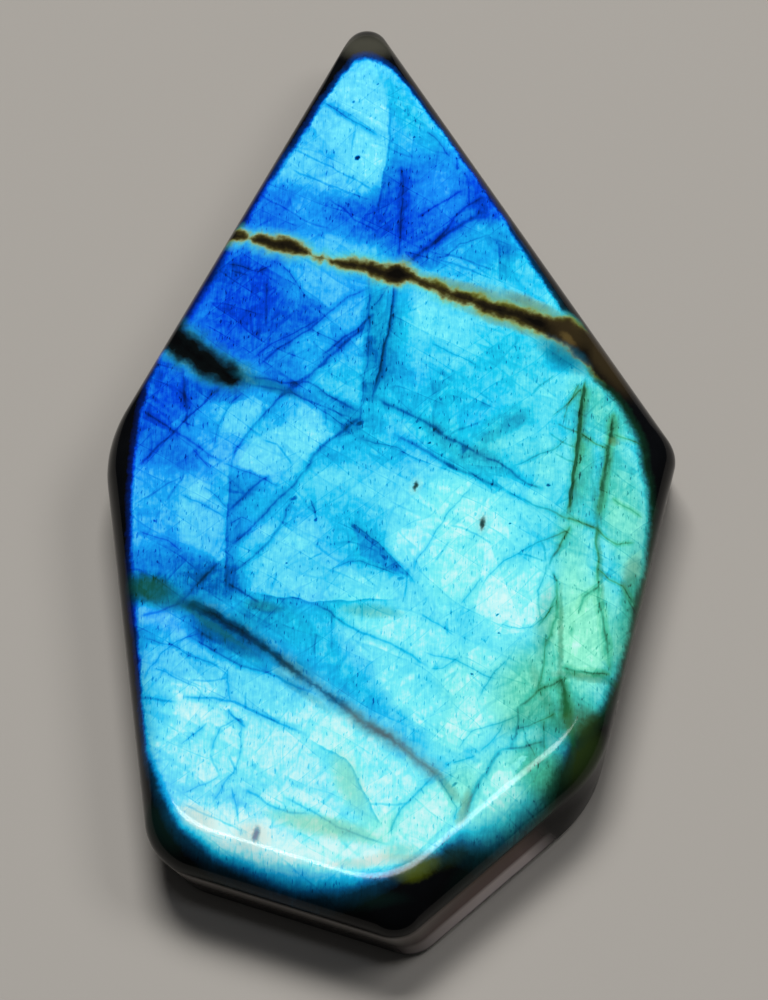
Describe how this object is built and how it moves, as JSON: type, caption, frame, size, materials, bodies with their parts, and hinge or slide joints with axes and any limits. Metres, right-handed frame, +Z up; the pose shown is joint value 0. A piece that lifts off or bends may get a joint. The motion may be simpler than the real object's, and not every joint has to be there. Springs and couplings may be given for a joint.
{
  "type": "polished labradorite",
  "caption": "Flat-backed free-form labradorite cabochon with a pointed end, straight sides, rounded shoulders and a polished top.",
  "frame": {"origin": "on the flat back, midway along and across the stone", "axes": "+Y along the stone towards its pointed end, +Z up out of the polished top, +X to the right as seen from above"},
  "size_m": [0.0288, 0.0512, 0.0042],
  "materials": {
    "labradorite": "high polish over blue, cyan and green colour flash, with a near black body at the edges"
  },
  "bodies": {
    "root": {"labradorite": "labradorite"}
  },
  "joints": []
}
